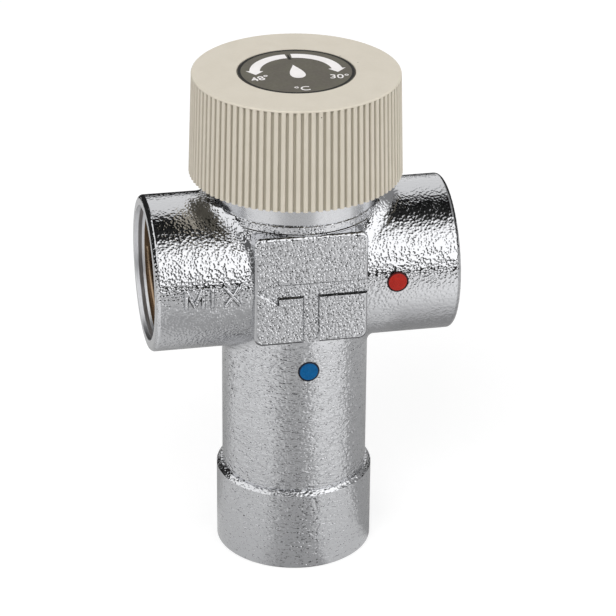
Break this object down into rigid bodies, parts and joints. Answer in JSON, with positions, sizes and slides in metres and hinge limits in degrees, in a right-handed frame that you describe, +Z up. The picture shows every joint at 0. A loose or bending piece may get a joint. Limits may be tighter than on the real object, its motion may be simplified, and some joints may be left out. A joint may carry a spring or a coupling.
{
  "type": "thermostatic mixing valve",
  "caption": "Chrome plated brass mixing valve with side ports, a lower cold inlet, a flow arrow pad and a ribbed beige setting knob with a dial on top.",
  "frame": {"origin": "centre of the lower end face, the mouth of the cold inlet", "axes": "+Z up the spindle to the knob, +X from the mixed outlet to the hot inlet, -Y out of the pad with the flow arrow"},
  "size_m": [0.0624, 0.0432, 0.1053],
  "materials": {
    "plated_body": "chrome plate over a rough brass casting",
    "plated_ring": "smooth turned chrome plate",
    "brass": "bare turned brass",
    "spring_steel": "drawn stainless steel",
    "cartridge_plastic": "moulded black polymer",
    "element_brass": "drawn brass cup",
    "seal_rubber": "black seal rubber",
    "knob_plastic": "moulded beige plastic",
    "dial_print": "dark printed dial disc",
    "red_enamel": "red enamel",
    "blue_enamel": "blue enamel"
  },
  "bodies": {
    "valve": {"body": "plated_body", "bonnet": "plated_ring", "bonnet_o_ring": "seal_rubber", "stop_ring": "brass", "seat_liner": "cartridge_plastic", "liner_o_ring_lower": "seal_rubber", "liner_o_ring_upper": "seal_rubber", "spring_basket": "spring_steel", "return_spring": "spring_steel", "hot_dot": "red_enamel", "cold_dot": "blue_enamel"},
    "knob_group": {"knob": "knob_plastic", "knob_cap": "dial_print", "knob_screw": "spring_steel", "spindle": "brass", "spindle_clip": "spring_steel", "spindle_o_ring_lower": "seal_rubber", "spindle_o_ring_upper": "seal_rubber"},
    "nut_group": {"setting_nut": "brass", "nut_clip": "spring_steel", "overload_spring": "spring_steel"},
    "pin_group": {"pressure_cup": "brass", "push_pin": "spring_steel"},
    "shutter_group": {"shutter": "cartridge_plastic", "cold_disc": "cartridge_plastic", "wax_element": "element_brass"}
  },
  "joints": [
    {"name": "knob_turn", "type": "hinge", "parent": "valve", "child": "knob_group", "pos_m": [0, 0, 0.09], "axis": [0, 0, 1], "range_deg": [-150, 150]},
    {"name": "nut_travel", "type": "slide", "parent": "valve", "child": "nut_group", "axis": [0, 0, 1], "range_m": [-0.0009, 0.0009]},
    {"name": "overload_slide", "type": "slide", "parent": "nut_group", "child": "pin_group", "axis": [0, 0, 1], "range_m": [0, 0.0016], "stiffness_N_per_m": 2000, "springref_m": -0.001, "deforming": ["overload_spring"]},
    {"name": "shutter_slide", "type": "slide", "parent": "valve", "child": "shutter_group", "axis": [0, 0, 1], "range_m": [-0.0022, 0], "stiffness_N_per_m": 1000, "springref_m": 0.003, "deforming": ["return_spring"]}
  ],
  "couplings": [
    {"joint": "nut_travel", "follows": "knob_turn", "m_per_rad": 0.00031831}
  ]
}
